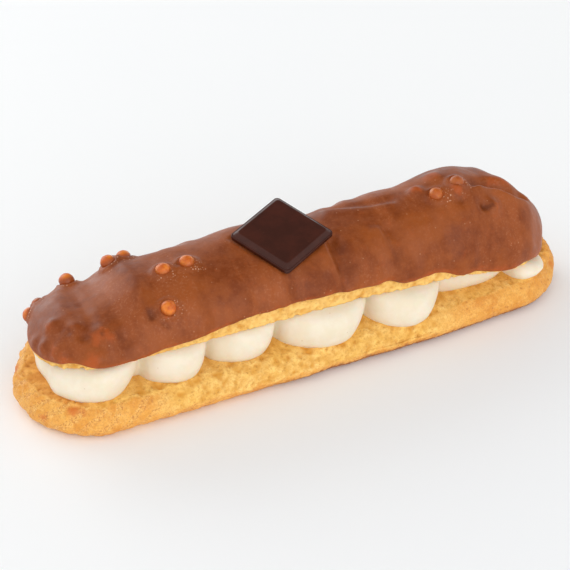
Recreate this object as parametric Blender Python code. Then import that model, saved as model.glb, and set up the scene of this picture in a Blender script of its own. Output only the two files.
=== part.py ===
"""A filled chocolate eclair, modelled piece by piece at its real size.

A split choux pastry bun, 150 mm long: the lower half carries a row of piped cream on
each side, the upper half lies on the cream and wears a milk chocolate glaze with crisp
pearls set in it, and a small square of dark chocolate is pressed into the glaze.

+X runs along the eclair, +Y to its back, +Z up, and the underside rests on Z = 0.
"""

import math

import bmesh
import bpy
from mathutils import Euler, Matrix, Vector, noise

MM = 0.001

# Driving dimensions
BASE_LENGTH = 151.0 * MM
BASE_WIDTH = 41.2 * MM
LID_LENGTH = 141.6 * MM
LID_WIDTH = 33.4 * MM
CREAM_LENGTH = 142.4 * MM
CREAM_WIDTH = 33.0 * MM
GLAZE_THICKNESS = 1.4 * MM
PEARL_RADIUS = 1.95 * MM
PLAQUE_SIDE = 17.6 * MM
PLAQUE_THICKNESS = 2.0 * MM
PLAQUE_CORNER = 1.1 * MM
PLAQUE_EDGE = 0.9 * MM
GAP = 0.3 * MM

# How finely the round outlines are cut
BASE_SPOKES = 128
CREAM_SPOKES = 144
LID_SPOKES = 96

# Rings of the dome from the glaze's lower edge, 0, to the crest, 1, and the dome's section
DOME_RINGS = (0.0, 0.1, 0.22, 0.36, 0.5, 0.64, 0.78, 0.9, 1.0)
DOME_REACH_POWER = 0.92
DOME_RISE_POWER = 0.96
DOME_LUMPS = 0.3 * MM

# Heights along the eclair, each as (x, z) stations that smooth_line joins
CUT_EDGE_FRONT = ((-60, 8.0), (-26, 8.2), (0, 6.8), (20, 5.4), (44, 8.0), (62, 8.0))
CUT_EDGE_BACK = ((-62, 9.0), (-34, 7.6), (-6, 8.2), (22, 7.2), (50, 8.0), (64, 8.0))
CUT_MIDDLE = ((-60, 9.2), (0, 9.0), (60, 8.6))
LID_UNDERSIDE = ((-70, 16.0), (-62, 17.5), (6, 17.0), (34, 15.6), (55, 12.9), (70, 11.6))
LID_CREST = (
    (-56, 25.7), (-43, 31.0), (-14, 32.9), (6, 31.0), (16, 31.4), (30, 32.9), (46, 36.6),
    (54, 31.2),
)
GLAZE_EDGE_FRONT = (
    (-71, 17.2), (-65, 20.4), (-54, 18.2), (-38, 19.2), (-21, 22.4), (0, 20.9), (17, 20.0),
    (24, 18.2), (31, 18.4), (40, 16.0), (54, 13.4), (59, 13.6), (68, 11.8),
)
GLAZE_EDGE_BACK = ((-71, 18.0), (-38, 21.6), (-10, 20.0), (18, 21.0), (40, 17.6), (66, 13.2))

# How far the crust's lumps and ridges stand out
CRUST_LUMPS = 0.5 * MM
CRUST_RIDGES = 0.4 * MM

# Share of its full width that the base keeps along the front, pulled in at the right end
FRONT_TAPER = ((30, 1.0), (62, 0.91), (75, 0.93))

# Piped cream: the x of each pinch between two lobes, then each lobe's reach from the spine
PINCHES_FRONT = (-72.5, -50.0, -31.4, -12.2, 10.5, 34.2, 49.5, 69.5)
REACH_FRONT = (19.2, 17.6, 16.7, 19.2, 19.6, 15.4, 18.4)
PINCHES_BACK = (-70.5, -52.0, -32.5, -10.0, 9.0, 30.0, 52.5, 68.5)
REACH_BACK = (17.4, 17.6, 18.4, 17.4, 18.2, 17.2, 16.4)
PINCH_DEPTH = 8.0 * MM
LOBE_LEAN = 0.1

# Swells of the dome, as (x, y, spread, height) in mm, each a soft round rise or hollow
SWELLS = (
    (-59.6, -10.7, 2.6, 0.9), (-64.0, -5.9, 2.6, 0.8), (-62.9, -11.4, 2.2, 0.7),
    (-56.2, -12.6, 2.4, 0.8), (-68.2, -5.2, 2.4, 0.7), (-44.6, -12.5, 3.4, 0.8),
    (39.8, 3.3, 2.4, 0.7), (53.0, -6.8, 4.0, 0.8), (60.0, -7.8, 4.0, 0.7),
    (51.0, -1.0, 3.4, -1.5), (57.5, -2.0, 3.4, -1.5), (41.8, -8.2, 2.0, -0.5),
    (50.5, 7.5, 4.5, 1.2),
)

# Crisp pearls, as (x, y) in mm seen from above and the share of the radius they stand out by
PEARLS = (
    (-67.0, 4.6, 0.7), (-64.0, 6.8, 0.7), (-57.0, 7.4, 0.75), (-45.6, 8.0, 0.6), (-41.6, 7.0, 0.4),
    (-36.9, -2.7, 0.35), (-30.8, -3.2, 0.35), (-39.9, -12.6, 0.4), (32.8, -1.1, 0.3),
    (36.2, -5.2, 0.4), (43.4, -3.2, 0.4), (41.6, -5.8, 0.3), (48.8, -9.3, 0.3), (55.6, -2.6, 0.3),
    (24.0, 15.0, 0.3), (46.5, 15.2, 0.3), (-22.0, 15.2, 0.3), (4.0, 15.6, 0.3),
)

# The plaque lies across the crest, leaning to the front
PLAQUE_CENTRE = Vector((-5.2, -1.6, 32.25)) * MM
PLAQUE_TURN = Euler((math.radians(13.9), math.radians(-3.0), 0.0), "XYZ")
PLAQUE_SPIN = math.radians(25.0)
PLAQUE_BED_MARGIN = 1.0 * MM
PLAQUE_BED_SLOPE = 0.8
PLAQUE_BED_DEPTH = 1.15


def clear_scene():
    for obj in list(bpy.data.objects):
        bpy.data.objects.remove(obj, do_unlink=True)


def smooth_line(stations, x):
    """Value at x, in metres, along (x in mm, value) stations, eased between each two."""
    x_mm = x / MM
    if x_mm <= stations[0][0]:
        return stations[0][1]
    for (x0, value0), (x1, value1) in zip(stations, stations[1:]):
        if x_mm <= x1:
            share = (x_mm - x0) / (x1 - x0)
            return value0 + (value1 - value0) * share * share * (3.0 - 2.0 * share)
    return stations[-1][1]


def height_at(stations, x):
    """Height at x, in metres, along stations whose values are in mm."""
    return smooth_line(stations, x) * MM


def relief(point, size, seed):
    """Smooth noise from -1 to 1 with lumps of about the given size."""
    return noise.noise(Vector(point) / size + Vector((seed, -seed, 0.5 * seed)))


class Spoke:
    """One direction out of the spine, the line that the rounded ends turn about."""

    def __init__(self, spine_x, angle):
        self.spine_x = spine_x
        self.out = Vector((math.cos(angle), math.sin(angle)))
        self.angle = angle

    def at(self, reach):
        return Vector((self.spine_x + reach * self.out.x, reach * self.out.y))

    @property
    def front(self):
        return self.out.y < 0.0


def spokes_round(length, width, count):
    """Spokes evenly spaced along an outline with straight sides and round ends."""
    radius = width / 2.0
    run = length - width
    quarter = math.pi * radius / 2.0
    total = 2.0 * run + 4.0 * quarter
    spokes = []
    for i in range(count):
        along = (i + 0.5) * total / count
        if along < quarter:
            spokes.append(Spoke(run / 2.0, along / radius))
        elif along < quarter + run:
            spokes.append(Spoke(run / 2.0 - (along - quarter), math.pi / 2.0))
        elif along < 3.0 * quarter + run:
            spokes.append(Spoke(-run / 2.0, (along - run) / radius))
        elif along < 3.0 * quarter + 2.0 * run:
            spokes.append(Spoke(along - 3.0 * quarter - 1.5 * run, 1.5 * math.pi))
        else:
            spokes.append(Spoke(run / 2.0, (along - 2.0 * run) / radius))
    return spokes


def next_ring(bm, ring):
    """Extrudes a closed ring of vertices and returns the new ring in the same order."""
    edges = [bm.edges.get((a, b)) for a, b in zip(ring, ring[1:] + ring[:1])]
    made = bmesh.ops.extrude_edge_only(bm, edges=edges)["geom"]
    new = {v for v in made if isinstance(v, bmesh.types.BMVert)}
    return [next(e.other_vert(v) for e in v.link_edges if e.other_vert(v) in new) for v in ring]


def loft(name, spokes, levels, place, colour, roughness):
    """Draws a skin over the rings place(level, spoke), closed along the spine at both ends.

    Every skin is cut into triangles the same way, so that two which lie a gap apart stay apart.
    """
    bm = bmesh.new()
    ring = bmesh.ops.create_circle(bm, segments=len(spokes), radius=1.0)["verts"]
    for number, level in enumerate(levels):
        if number:
            ring = next_ring(bm, ring)
        for vertex, spoke in zip(ring, spokes):
            vertex.co = place(level, spoke)
    bmesh.ops.triangulate(bm, faces=bm.faces, quad_method="FIXED")
    bmesh.ops.remove_doubles(bm, verts=bm.verts, dist=0.02 * MM)
    bmesh.ops.dissolve_degenerate(bm, edges=bm.edges, dist=0.01 * MM)
    bmesh.ops.recalc_face_normals(bm, faces=bm.faces)
    return finished(name, bm, colour, roughness)


def finished(name, bm, colour, roughness):
    """Turns a bmesh into a named object with its own material."""
    mesh = bpy.data.meshes.new(name)
    bm.to_mesh(mesh)
    bm.free()
    mesh.shade_smooth()
    mesh.set_sharp_from_angle(angle=math.radians(50.0))
    material = bpy.data.materials.new(name)
    material.use_nodes = True
    shader = material.node_tree.nodes["Principled BSDF"]
    shader.inputs["Base Color"].default_value = (*colour, 1.0)
    shader.inputs["Roughness"].default_value = roughness
    shader.inputs["Metallic"].default_value = 0.0
    mesh.materials.append(material)
    obj = bpy.data.objects.new(name, mesh)
    bpy.context.scene.collection.objects.link(obj)
    return obj


def cut_height(x, y):
    """Height of the knife cut through the lower half: low at the rim, higher inside."""
    side = CUT_EDGE_FRONT if y < 0.0 else CUT_EDGE_BACK
    middle = height_at(CUT_MIDDLE, x)
    edge = height_at(side, x)
    share = min(1.0, abs(y) / (0.5 * BASE_WIDTH))
    return middle + (edge - middle) * share ** 3


def crust_ridges(spoke):
    """Folds that run up the crust: strong at the left end, faint elsewhere."""
    strength = 0.25 + 0.75 * max(0.0, min(1.0, -spoke.spine_x / MM / 40.0 - 0.4))
    return strength * math.sin(9.0 * spoke.angle + 1.1 * math.sin(spoke.spine_x / (9.0 * MM)))


def make_base():
    """The lower half of the bun: a flat foot, a rounded crust and a knife-cut top."""
    radius = BASE_WIDTH / 2.0
    foot = [(0.0, 0.0), (0.45, 0.0), (0.86, 0.0), (0.935, 1.0), (0.985, 2.4), (1.0, 3.8)]
    shoulder = [(0.985, 0.66), (0.945, 0.86), (0.885, 0.97), (0.82, 1.0)]
    levels = [("foot", *pair) for pair in foot]
    levels += [("shoulder", *pair) for pair in shoulder]
    levels += [("cut", 0.66, 1.0), ("cut", 0.36, 1.0), ("cut", 0.0, 1.0)]

    def place(level, spoke):
        kind, share, height = level
        flat = spoke.at(share * radius)
        rim = cut_height(flat.x, flat.y)
        z = min(height * MM, 0.55 * rim) if kind == "foot" else rim * height
        swell = 0.0
        if share > 0.7 and z > 0.0:
            swell = CRUST_LUMPS * relief((flat.x, flat.y, z), 8.0 * MM, 3.0)
            swell += CRUST_RIDGES * crust_ridges(spoke) * min(1.0, (1.06 - share) * 6.0)
        flat = spoke.at(share * radius + swell)
        if spoke.front:
            flat.y *= smooth_line(FRONT_TAPER, flat.x)
        return (flat.x, flat.y, z)

    spokes = spokes_round(BASE_LENGTH, BASE_WIDTH, BASE_SPOKES)
    return loft("choux_base", spokes, levels, place, (0.80, 0.48, 0.14), 0.75)


def lobe_reach(x, front):
    """How far the cream's piped lobes reach out from the spine at x."""
    pinches = PINCHES_FRONT if front else PINCHES_BACK
    reaches = REACH_FRONT if front else REACH_BACK
    for left, right, reach in zip(pinches, pinches[1:], reaches):
        if x <= right * MM or right == pinches[-1]:
            half = 0.5 * (right - left) * MM
            off = (x - 0.5 * (left + right) * MM) / half
            off = max(-1.0, min(1.0, off - LOBE_LEAN * (1.0 - off * off)))
            bulge = math.sqrt(1.0 - abs(off) ** 2.1)
            return reach * MM - PINCH_DEPTH * (1.0 - bulge)
    return reaches[-1] * MM


def lid_underside(x):
    return height_at(LID_UNDERSIDE, x)


def make_cream():
    """Cream piped in lobes along both sides, flattened between the two halves."""
    radius = CREAM_WIDTH / 2.0
    sides = [(0.0, 0.93), (0.16, 0.975), (0.38, 1.0), (0.66, 0.985), (0.88, 0.945), (1.0, 0.895)]
    levels = [("low", 0.0, 0.0), ("low", 0.0, 0.5)]
    levels += [("side", height, share) for height, share in sides]
    levels += [("high", 1.0, 0.5), ("high", 1.0, 0.0)]

    def place(level, spoke):
        kind, height, share = level
        level_reach = radius
        if abs(spoke.out.x) < 0.02:
            level_reach = lobe_reach(spoke.spine_x, spoke.front)
        else:
            tip = spoke.at(radius)
            level_reach = lobe_reach(tip.x, spoke.front)
            level_reach += (radius - level_reach) * abs(spoke.out.x)
        flat = spoke.at(share * level_reach)
        low = cut_height(flat.x, flat.y) + GAP
        high = lid_underside(flat.x) - GAP
        return (flat.x, flat.y, low + (high - low) * height)

    spokes = spokes_round(CREAM_LENGTH, CREAM_WIDTH, CREAM_SPOKES)
    return loft("vanilla_cream", spokes, levels, place, (0.94, 0.88, 0.72), 0.45)


def swells(x, y):
    """Height that the soft rises and hollows of the dome add at (x, y)."""
    total = 0.0
    for centre_x, centre_y, spread, height in SWELLS:
        away = math.hypot(x / MM - centre_x, y / MM - centre_y) / spread
        total += height * MM * math.exp(-away * away)
    return total


def plaque_frame():
    """Turns a point of the plaque's own frame into the eclair's."""
    turn = PLAQUE_TURN.to_matrix() @ Euler((0.0, 0.0, PLAQUE_SPIN)).to_matrix()
    return Matrix.Translation(PLAQUE_CENTRE) @ turn.to_4x4()


def pressed(point, inset):
    """Pushes a point of the dome down to the bed of the plaque where it would rise above it."""
    local = plaque_frame().inverted() @ point
    outside = max(abs(local.x), abs(local.y)) - PLAQUE_SIDE / 2.0
    bed = -PLAQUE_THICKNESS / 2.0 - GAP - PLAQUE_BED_DEPTH * inset
    bed += PLAQUE_BED_SLOPE * max(0.0, outside - PLAQUE_BED_MARGIN)
    if local.z <= bed:
        return point
    local.z = bed
    return plaque_frame() @ local


def dome_point(spoke, sweep, inset):
    """A point on the lid's dome. Sweep is 0 at the lower edge and 1 on the crest."""
    angle = sweep * math.pi / 2.0
    radius = LID_WIDTH / 2.0 - inset
    flat = spoke.at(radius * math.cos(angle) ** DOME_REACH_POWER)
    low = lid_underside(flat.x)
    high = height_at(LID_CREST, spoke.spine_x) - inset
    lift = (high - low) * math.sin(angle) ** DOME_RISE_POWER
    lumps = swells(flat.x, flat.y) + DOME_LUMPS * relief((flat.x, flat.y, 0.0), 13.0 * MM, 9.0)
    lift += lumps * math.sin(angle)
    return pressed(Vector((flat.x, flat.y, low + lift)), inset)


def glaze_sweep(spoke):
    """How far up the dome the glaze's lower edge lies, from 0 to 1."""
    x = spoke.at(LID_WIDTH / 2.0).x
    front = height_at(GLAZE_EDGE_FRONT, x)
    back = height_at(GLAZE_EDGE_BACK, x)
    share = 0.5 - 0.5 * spoke.out.y
    edge = back + (front - back) * share * share * (3.0 - 2.0 * share)
    low = lid_underside(x)
    high = height_at(LID_CREST, spoke.spine_x)
    rise = max(0.02, (edge - low) / (high - low))
    return math.asin(min(0.9, rise) ** (1.0 / DOME_RISE_POWER)) / (math.pi / 2.0)


def make_lid():
    """The upper half of the bun, cut flat below, with its crumb showing at the edge."""
    inset = GLAZE_THICKNESS + GAP
    levels = [("cut", 0.0), ("cut", 0.5), ("cut", 0.9), ("cut", 0.975), ("edge", 0.45)]
    levels += [("dome", share) for share in DOME_RINGS]

    def place(level, spoke):
        kind, share = level
        start = glaze_sweep(spoke)
        if kind == "cut":
            flat = spoke.at(share * (LID_WIDTH / 2.0 - inset))
            return (flat.x, flat.y, lid_underside(flat.x))
        if kind == "edge":
            return dome_point(spoke, start * share, inset)
        return dome_point(spoke, start + (1.0 - start) * share, inset)

    spokes = spokes_round(LID_LENGTH, LID_WIDTH, LID_SPOKES)
    return loft("choux_lid", spokes, levels, place, (0.84, 0.58, 0.24), 0.8)


def dome_seat(x, y):
    """The point of the dome above (x, y) and the way that the surface faces there."""
    run = (LID_LENGTH - LID_WIDTH) / 2.0

    def over(along, across):
        spine_x = max(-run, min(run, along))
        reach = math.hypot(along - spine_x, across)
        spoke = Spoke(spine_x, math.atan2(across, along - spine_x) if reach else 0.0)
        share = min(0.985, reach / (LID_WIDTH / 2.0))
        return dome_point(spoke, math.acos(share ** (1.0 / DOME_REACH_POWER)) / (math.pi / 2.0), 0.0)

    seat = over(x, y)
    step = 1.0 * MM
    along = over(x + step, y) - over(x - step, y)
    across = over(x, y + step) - over(x, y - step)
    return seat, along.cross(across).normalized()


def add_pearls(glaze):
    """Fuses the crisp pearls to the glaze, each sunk a little way in."""
    group = bpy.data.collections.new("pearls")
    bpy.context.scene.collection.children.link(group)
    for number, (x_mm, y_mm, rise) in enumerate(PEARLS):
        seat, normal = dome_seat(x_mm * MM, y_mm * MM)
        bm = bmesh.new()
        bmesh.ops.create_icosphere(bm, subdivisions=2, radius=PEARL_RADIUS)
        bmesh.ops.translate(bm, verts=bm.verts, vec=seat + normal * PEARL_RADIUS * rise)
        mesh = bpy.data.meshes.new("pearl")
        bm.to_mesh(mesh)
        bm.free()
        group.objects.link(bpy.data.objects.new(f"pearl_{number}", mesh))
    join = glaze.modifiers.new("pearls", "BOOLEAN")
    join.operation = "UNION"
    join.operand_type = "COLLECTION"
    join.collection = group
    apply_modifiers(glaze)
    for pearl in list(group.objects):
        bpy.data.objects.remove(pearl, do_unlink=True)
    bpy.data.collections.remove(group)


def apply_modifiers(obj):
    graph = bpy.context.evaluated_depsgraph_get()
    mesh = bpy.data.meshes.new_from_object(obj.evaluated_get(graph))
    obj.modifiers.clear()
    obj.data = mesh


def make_glaze():
    """The milk chocolate skin over the dome, with its wavy lower edge."""
    outer = [("out", share) for share in reversed(DOME_RINGS)]
    inner = [("in", share) for share in DOME_RINGS[1:]]

    def place(level, spoke):
        kind, share = level
        start = glaze_sweep(spoke)
        sweep = start + (1.0 - start) * share
        if kind == "in":
            return dome_point(spoke, sweep, GLAZE_THICKNESS)
        thin = 0.45 * GLAZE_THICKNESS if share == 0.0 else 0.0
        return dome_point(spoke, sweep, thin)

    spokes = spokes_round(LID_LENGTH, LID_WIDTH, LID_SPOKES)
    glaze = loft(
        "milk_chocolate_glaze", spokes, outer + inner, place, (0.28, 0.10, 0.04), 0.3
    )
    add_pearls(glaze)
    return glaze


def make_plaque():
    """A small bevelled square of dark chocolate."""
    bm = bmesh.new()
    bmesh.ops.create_cube(bm, size=1.0)
    size = (PLAQUE_SIDE, PLAQUE_SIDE, PLAQUE_THICKNESS)
    bmesh.ops.scale(bm, verts=bm.verts, vec=size)
    upright = [e for e in bm.edges if abs(e.verts[0].co.z - e.verts[1].co.z) > 1.0 * MM]
    bmesh.ops.bevel(
        bm, geom=upright, offset=PLAQUE_CORNER, segments=3, profile=0.5, affect="EDGES", material=-1
    )
    top = PLAQUE_THICKNESS / 2.0 - 0.01 * MM
    rim = [e for e in bm.edges if min(v.co.z for v in e.verts) > top]
    bmesh.ops.bevel(
        bm, geom=rim, offset=PLAQUE_EDGE, segments=2, profile=0.5, affect="EDGES", material=-1
    )
    bmesh.ops.transform(bm, verts=bm.verts, matrix=plaque_frame())
    return finished("dark_chocolate_plaque", bm, (0.045, 0.015, 0.010), 0.3)


def main():
    clear_scene()
    make_base()
    make_cream()
    make_lid()
    make_glaze()
    make_plaque()


main()
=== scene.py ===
"""The looks of a filled chocolate eclair: choux, piped vanilla cream, glaze, pearls and a plaque.

Each piece is drawn again, finer than its solid, with the low relief that the solid leaves out.
+X runs along the eclair, +Y to its back, +Z up, and the underside rests on Z = 0.
"""

from math import acos, asin, atan2, cos, exp, hypot, pi, radians, sin, sqrt

import bmesh
import bpy
from mathutils import Euler, Matrix, Vector, geometry, noise


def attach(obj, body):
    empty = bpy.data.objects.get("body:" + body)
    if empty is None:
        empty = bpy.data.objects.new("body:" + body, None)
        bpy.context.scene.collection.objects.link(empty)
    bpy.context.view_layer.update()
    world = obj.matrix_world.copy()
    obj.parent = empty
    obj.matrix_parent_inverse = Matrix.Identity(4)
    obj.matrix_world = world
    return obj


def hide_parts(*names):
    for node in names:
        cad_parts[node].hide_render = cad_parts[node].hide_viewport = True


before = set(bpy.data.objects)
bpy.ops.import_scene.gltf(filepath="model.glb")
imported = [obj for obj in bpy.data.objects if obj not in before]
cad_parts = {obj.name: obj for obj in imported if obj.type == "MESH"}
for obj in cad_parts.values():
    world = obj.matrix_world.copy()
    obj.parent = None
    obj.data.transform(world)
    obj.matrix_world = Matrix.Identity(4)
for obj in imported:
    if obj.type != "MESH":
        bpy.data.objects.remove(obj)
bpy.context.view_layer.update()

MM = 0.001

# Driving dimensions of the drawn pieces
BASE_LENGTH = 150.8 * MM
BASE_WIDTH = 40.9 * MM
LID_LENGTH = 141.6 * MM
LID_WIDTH = 33.4 * MM
CREAM_LENGTH = 142.4 * MM
CREAM_WIDTH = 33.0 * MM
GLAZE_THICKNESS = 1.4 * MM
PEARL_RADIUS = 1.95 * MM
PLAQUE_SIDE = 18.3 * MM
PLAQUE_THICKNESS = 2.0 * MM
PLAQUE_CORNER = 1.1 * MM
PLAQUE_LEDGE = 0.85 * MM
GAP = 0.3 * MM

# How finely the round outlines are cut
BASE_SPOKES = 840
CREAM_SPOKES = 640
LID_SPOKES = 840
GLAZE_SPOKES = 520

# The dome's section, its broad lumps, and how far the back of its right end falls in
DOME_REACH_POWER = 0.92
DOME_RISE_POWER = 0.96
DOME_LUMPS = 0.3 * MM
END_TUCK = 1.8 * MM

# Heights along the eclair, each as (x, z) stations that smooth_line joins
CUT_EDGE_FRONT = ((-60, 8.0), (-26, 8.2), (0, 6.8), (20, 5.4), (44, 8.0), (62, 8.0))
CUT_EDGE_BACK = ((-62, 9.0), (-34, 7.6), (-6, 8.2), (22, 7.2), (50, 8.4), (68, 10.4), (73, 12.6))
CUT_MIDDLE = ((-60, 9.2), (0, 9.0), (58, 9.2), (70, 10.2), (73.5, 12.4))
LID_UNDERSIDE = ((-70, 16.0), (-62, 17.5), (6, 17.0), (34, 15.6), (55, 12.9), (70, 11.6))
LID_CREST = (
    (-54.1, 26.0), (-43, 30.4), (-27, 31.3), (-13, 32.6), (6, 31.0), (16, 31.4), (30, 32.9),
    (45.5, 35.6), (54.1, 33.0),
)
GLAZE_EDGE_FRONT = (
    (-71, 17.2), (-65, 19.0), (-54, 17.9), (-38, 19.0), (-21, 20.8), (-8, 21.2), (0, 20.9), (17, 20.0),
    (24, 18.2), (31, 18.4), (40, 16.0), (54, 13.4), (59, 13.6), (68, 11.8),
)
GLAZE_EDGE_BACK = ((-71, 18.0), (-38, 21.6), (-10, 20.0), (18, 21.0), (40, 17.6), (66, 13.2))

# The crust's lumps and ridges, the share of its width that the front keeps, how far the left end
# draws in, how far the right end leans in at its rim, and its share of the dome's tuck at the back
CRUST_LUMPS = 0.5 * MM
CRUST_RIDGES = 0.25 * MM
FRONT_TAPER = ((30, 1.0), (62, 0.91), (75, 0.93))
BASE_END_PULL = 0.4 * MM
BASE_END_LEAN = 1.5 * MM
BASE_TUCK_SHARE = 0.3

# The slanting folds of the crust round the left end, in mm
CRUST_END_RADIUS = 20.0
CRUST_FOLD_SPACING = 5.4
CRUST_FOLD_SLANT = 1.1

# Where the torn crumb starts and is whole, at its left and its right end, in mm
CRUMB_FRONT = ((-50.0, -40.0), (42.0, 24.0))
CRUMB_BACK = ((-44.0, -32.0), (46.0, 32.0))

# Profile of the lower half, as (reach, height in mm, share of the rim's height)
BASE_PROFILE = (
    (0.86, 0.0, 0.0), (0.935, 1.0, 0.0), (0.985, 2.4, 0.0), (1.0, 3.8, 0.0), (0.985, 0.0, 0.66),
    (0.945, 0.0, 0.86), (0.885, 0.0, 0.97), (0.82, 0.0, 1.0), (0.66, 0.0, 1.0),
)

# Piped cream: the x of each pinch between two lobes and each lobe's reach from the spine, in mm
PINCHES_FRONT = (-82.0, -46.7, -29.8, -11.4, 13.4, 34.6, 56.0, 72.2)
REACH_FRONT = (18.4, 18.2, 17.2, 19.9, 20.0, 13.4, 18.8)
PINCHES_BACK = (-70.5, -52.0, -32.5, -10.0, 9.0, 30.0, 52.5, 68.5)
REACH_BACK = (17.4, 17.6, 18.4, 17.4, 18.2, 17.2, 16.4)
PINCH_REACH = 11.0 * MM

# How far right of its middle a lobe is fullest, as a share of its half length, how far left of its
# top its foot lies, and how its two sides narrow to the foot
LOBE_LEAN = 0.15
LOBE_SLANT = 1.5 * MM
LOBE_NARROWING_RIGHT = 0.22
LOBE_NARROWING_LEFT = 0.12
LOBE_NARROWING_POWER = 1.2

# How far the cream draws in at the left end, and how many times as far at the right one
END_PULL = 2.0 * MM
RIGHT_END_PULL = 1.5

# How deep the cream sinks into the two halves, and its section as (share of reach, of height)
SINK_BELOW = 0.6 * MM
SINK_ABOVE = 0.1 * MM
CREAM_PROFILE = (
    (0.905, 0.0), (0.965, 0.16), (1.0, 0.4), (0.99, 0.62), (0.945, 0.81), (0.87, 0.93), (0.77, 1.0),
)

# Swells of the dome, as (x, y, spread, height) in mm, each a soft round rise or hollow
SWELLS = (
    (-65.3, -2.2, 1.7, 0.7), (-60.9, -7.0, 2.3, 0.8), (-68.3, -5.6, 1.8, 0.8), (-65.2, -8.8, 1.9, 0.9),
    (-62.2, -11.8, 1.9, 0.9), (-57.4, -10.6, 2.5, 0.9), (-58.9, -14.4, 1.8, 0.7),
    (-63.4, -5.2, 1.2, -0.5), (-60.0, -10.0, 1.1, -0.5),
    (-39.0, -13.6, 3.2, 0.5), (41.8, -8.2, 2.0, -0.6), (47.6, -10.2, 1.4, -0.7),
    (52.0, 7.0, 4.0, 0.8), (64.6, 4.6, 6.2, -4.0), (-14.0, -4.5, 5.5, -1.5), (66.5, -1.5, 4.5, -2.9),
)

# Folds of the dome, as the (x, y) points of the ridge, then its height and the depth of the
# valley on the left of it, all in mm
FOLDS = (
    (((46.4, -7.4), (48.9, -6.3), (53.3, -6.7), (56.3, -8.6), (58.7, -9.8), (64.6, -9.2)), 1.0, 2.3),
    (((8.0, 5.9), (15.5, 1.7), (22.5, -1.1), (27.8, -3.1)), 0.7, 0.6),
    (((-40.5, 9.2), (-33.9, 7.3), (-25.9, 6.7)), 0.3, 0.2),
    (((-42.0, -13.6), (-46.5, -13.0), (-51.5, -10.8), (-54.9, -13.1), (-57.1, -15.6)), 0.7, 0.8),
    (((3.4, -3.0), (2.6, -10.0), (3.2, -19.0)), 0.8, 1.7), (((18.2, -5.0), (17.6, -19.0)), 0.7, 1.2),
    (((31.4, -8.0), (31.0, -19.0)), 0.6, 0.5),
)

# How far a fold is felt, how it fades at both ends of its line, the spread of its ridge to the
# left and right, and where its valley begins, is deepest and how it spreads, all in mm
FOLD_REACH = 8.0
FOLD_FADE = 3.0
RIDGE_SPREAD_LEFT = 1.5
RIDGE_SPREAD_RIGHT = 3.0
VALLEY_EDGE = 2.6
VALLEY_MIDDLE = 3.0
VALLEY_SPREAD = 2.0

# Bare pearls, as (x, y) in mm seen from above, the share of the radius they stand out by, and how
# much of a film of glaze lies on each
PEARLS = (
    (-66.4, 11.1, 0.2, 0.0), (-63.6, 13.7, 0.1, 0.6), (-55.8, 13.6, 0.6, 0.0), (-45.9, 10.2, 0.5, 0.0),
    (-42.0, 11.0, 0.3, 0.0), (-36.9, -2.2, 0.1, 0.0), (-30.8, -2.2, 0.15, 0.1), (-39.9, -12.2, 0.1, 0.0),
    (36.9, -4.3, 0.1, 0.5), (43.3, -3.6, 0.1, 0.75), (24.0, 15.6, 0.05, 0.3), (-22.0, 15.7, 0.05, 0.0),
)

# Pearls under the glaze and thin spots of it, as (x, y), spread and height in mm, and stain
COATED_PEARLS = (
    (33.3, -0.3, 2.0, 1.8, 0.75), (42.3, -5.6, 1.7, 1.0, 0.9), (50.4, -10.4, 2.1, 1.6, 0.3),
    (40.0, 2.4, 3.0, 0.8, 0.7), (55.2, -2.1, 2.0, 0.3, 0.8), (58.2, -2.2, 2.2, 0.3, 0.8),
    (61.4, -0.8, 2.2, 0.2, 0.8), (64.4, 1.6, 2.4, 0.1, 0.8), (46.5, 15.8, 2.1, 1.2, 0.6),
    (4.0, 16.0, 2.1, 1.2, 0.6), (-57.6, -11.6, 2.4, 0.25, 0.85), (-54.6, -12.8, 2.0, 0.2, 0.8),
    (-60.4, -14.8, 2.5, 0.2, 0.8), (-65.6, -11.4, 2.0, 0.2, 0.7), (-65.6, -2.6, 1.5, 0.6, 0.3),
    (-68.6, -5.4, 1.7, 0.8, 0.2), (-66.4, -9.4, 1.9, 0.8, 0.3), (-69.6, -1.2, 1.8, 0.5, 0.0),
    (-58.6, -15.2, 1.9, 0.6, 0.4), (-63.0, -10.6, 1.6, 0.5, 0.0),
)

# Small hollows of the glaze, as (x, y), spread and depth in mm, each darkened by painted shade
HOLLOWS = (
    (-43.6, -12.5, 1.9, 0.9), (-41.6, -14.2, 1.3, 0.5), (-32.9, -1.9, 1.0, 0.5), (48.2, -10.3, 1.4, 0.9),
    (41.9, -7.8, 1.4, 0.5), (-62.9, -7.2, 1.1, 0.4), (-60.3, -10.4, 1.0, 0.3), (7.2, -8.6, 2.6, 0.25),
    (6.8, -12.6, 2.6, 0.3), (21.4, -13.4, 2.4, 0.2), (-52.6, -13.4, 2.0, 0.25),
)

# Spots that the oven browned on the crust, as (x, y, z) and spread in mm
BROWNED = (
    (-65.6, -14.9, 7.6, 1.8), (-63.4, -16.4, 7.2, 1.1), (-71.6, -10.4, 4.4, 1.0), (-5.7, -17.8, 3.0, 0.8),
    (-72.8, 6.5, 7.5, 1.6), (-58.0, -18.6, 3.0, 0.9), (47.0, -18.2, 4.4, 0.9), (70.8, -9.8, 6.0, 1.5),
)

# The lid's crumb shows beyond this share of its cut, and its edge stands proud by this much
SHOWN_CUT = 0.88
CRUMB_PROUD = 0.5 * MM

# The glaze's rounded lip: its share of the way up to the crest and the shares at which its rows of
# points lie, then how many rows the glaze has above it
LIP = 0.05
LIP_ROWS = (0.0, 0.003, 0.008, 0.015, 0.024, 0.035, 0.05)
GLAZE_ROWS = 52

# How the glaze rises round a bare pearl, as height, distance from the pearl and spread in mm
PEARL_MOUND = (0.7, 0.0, 2.9)
PEARL_COLLAR = (0.45, 2.4, 0.6)

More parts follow.
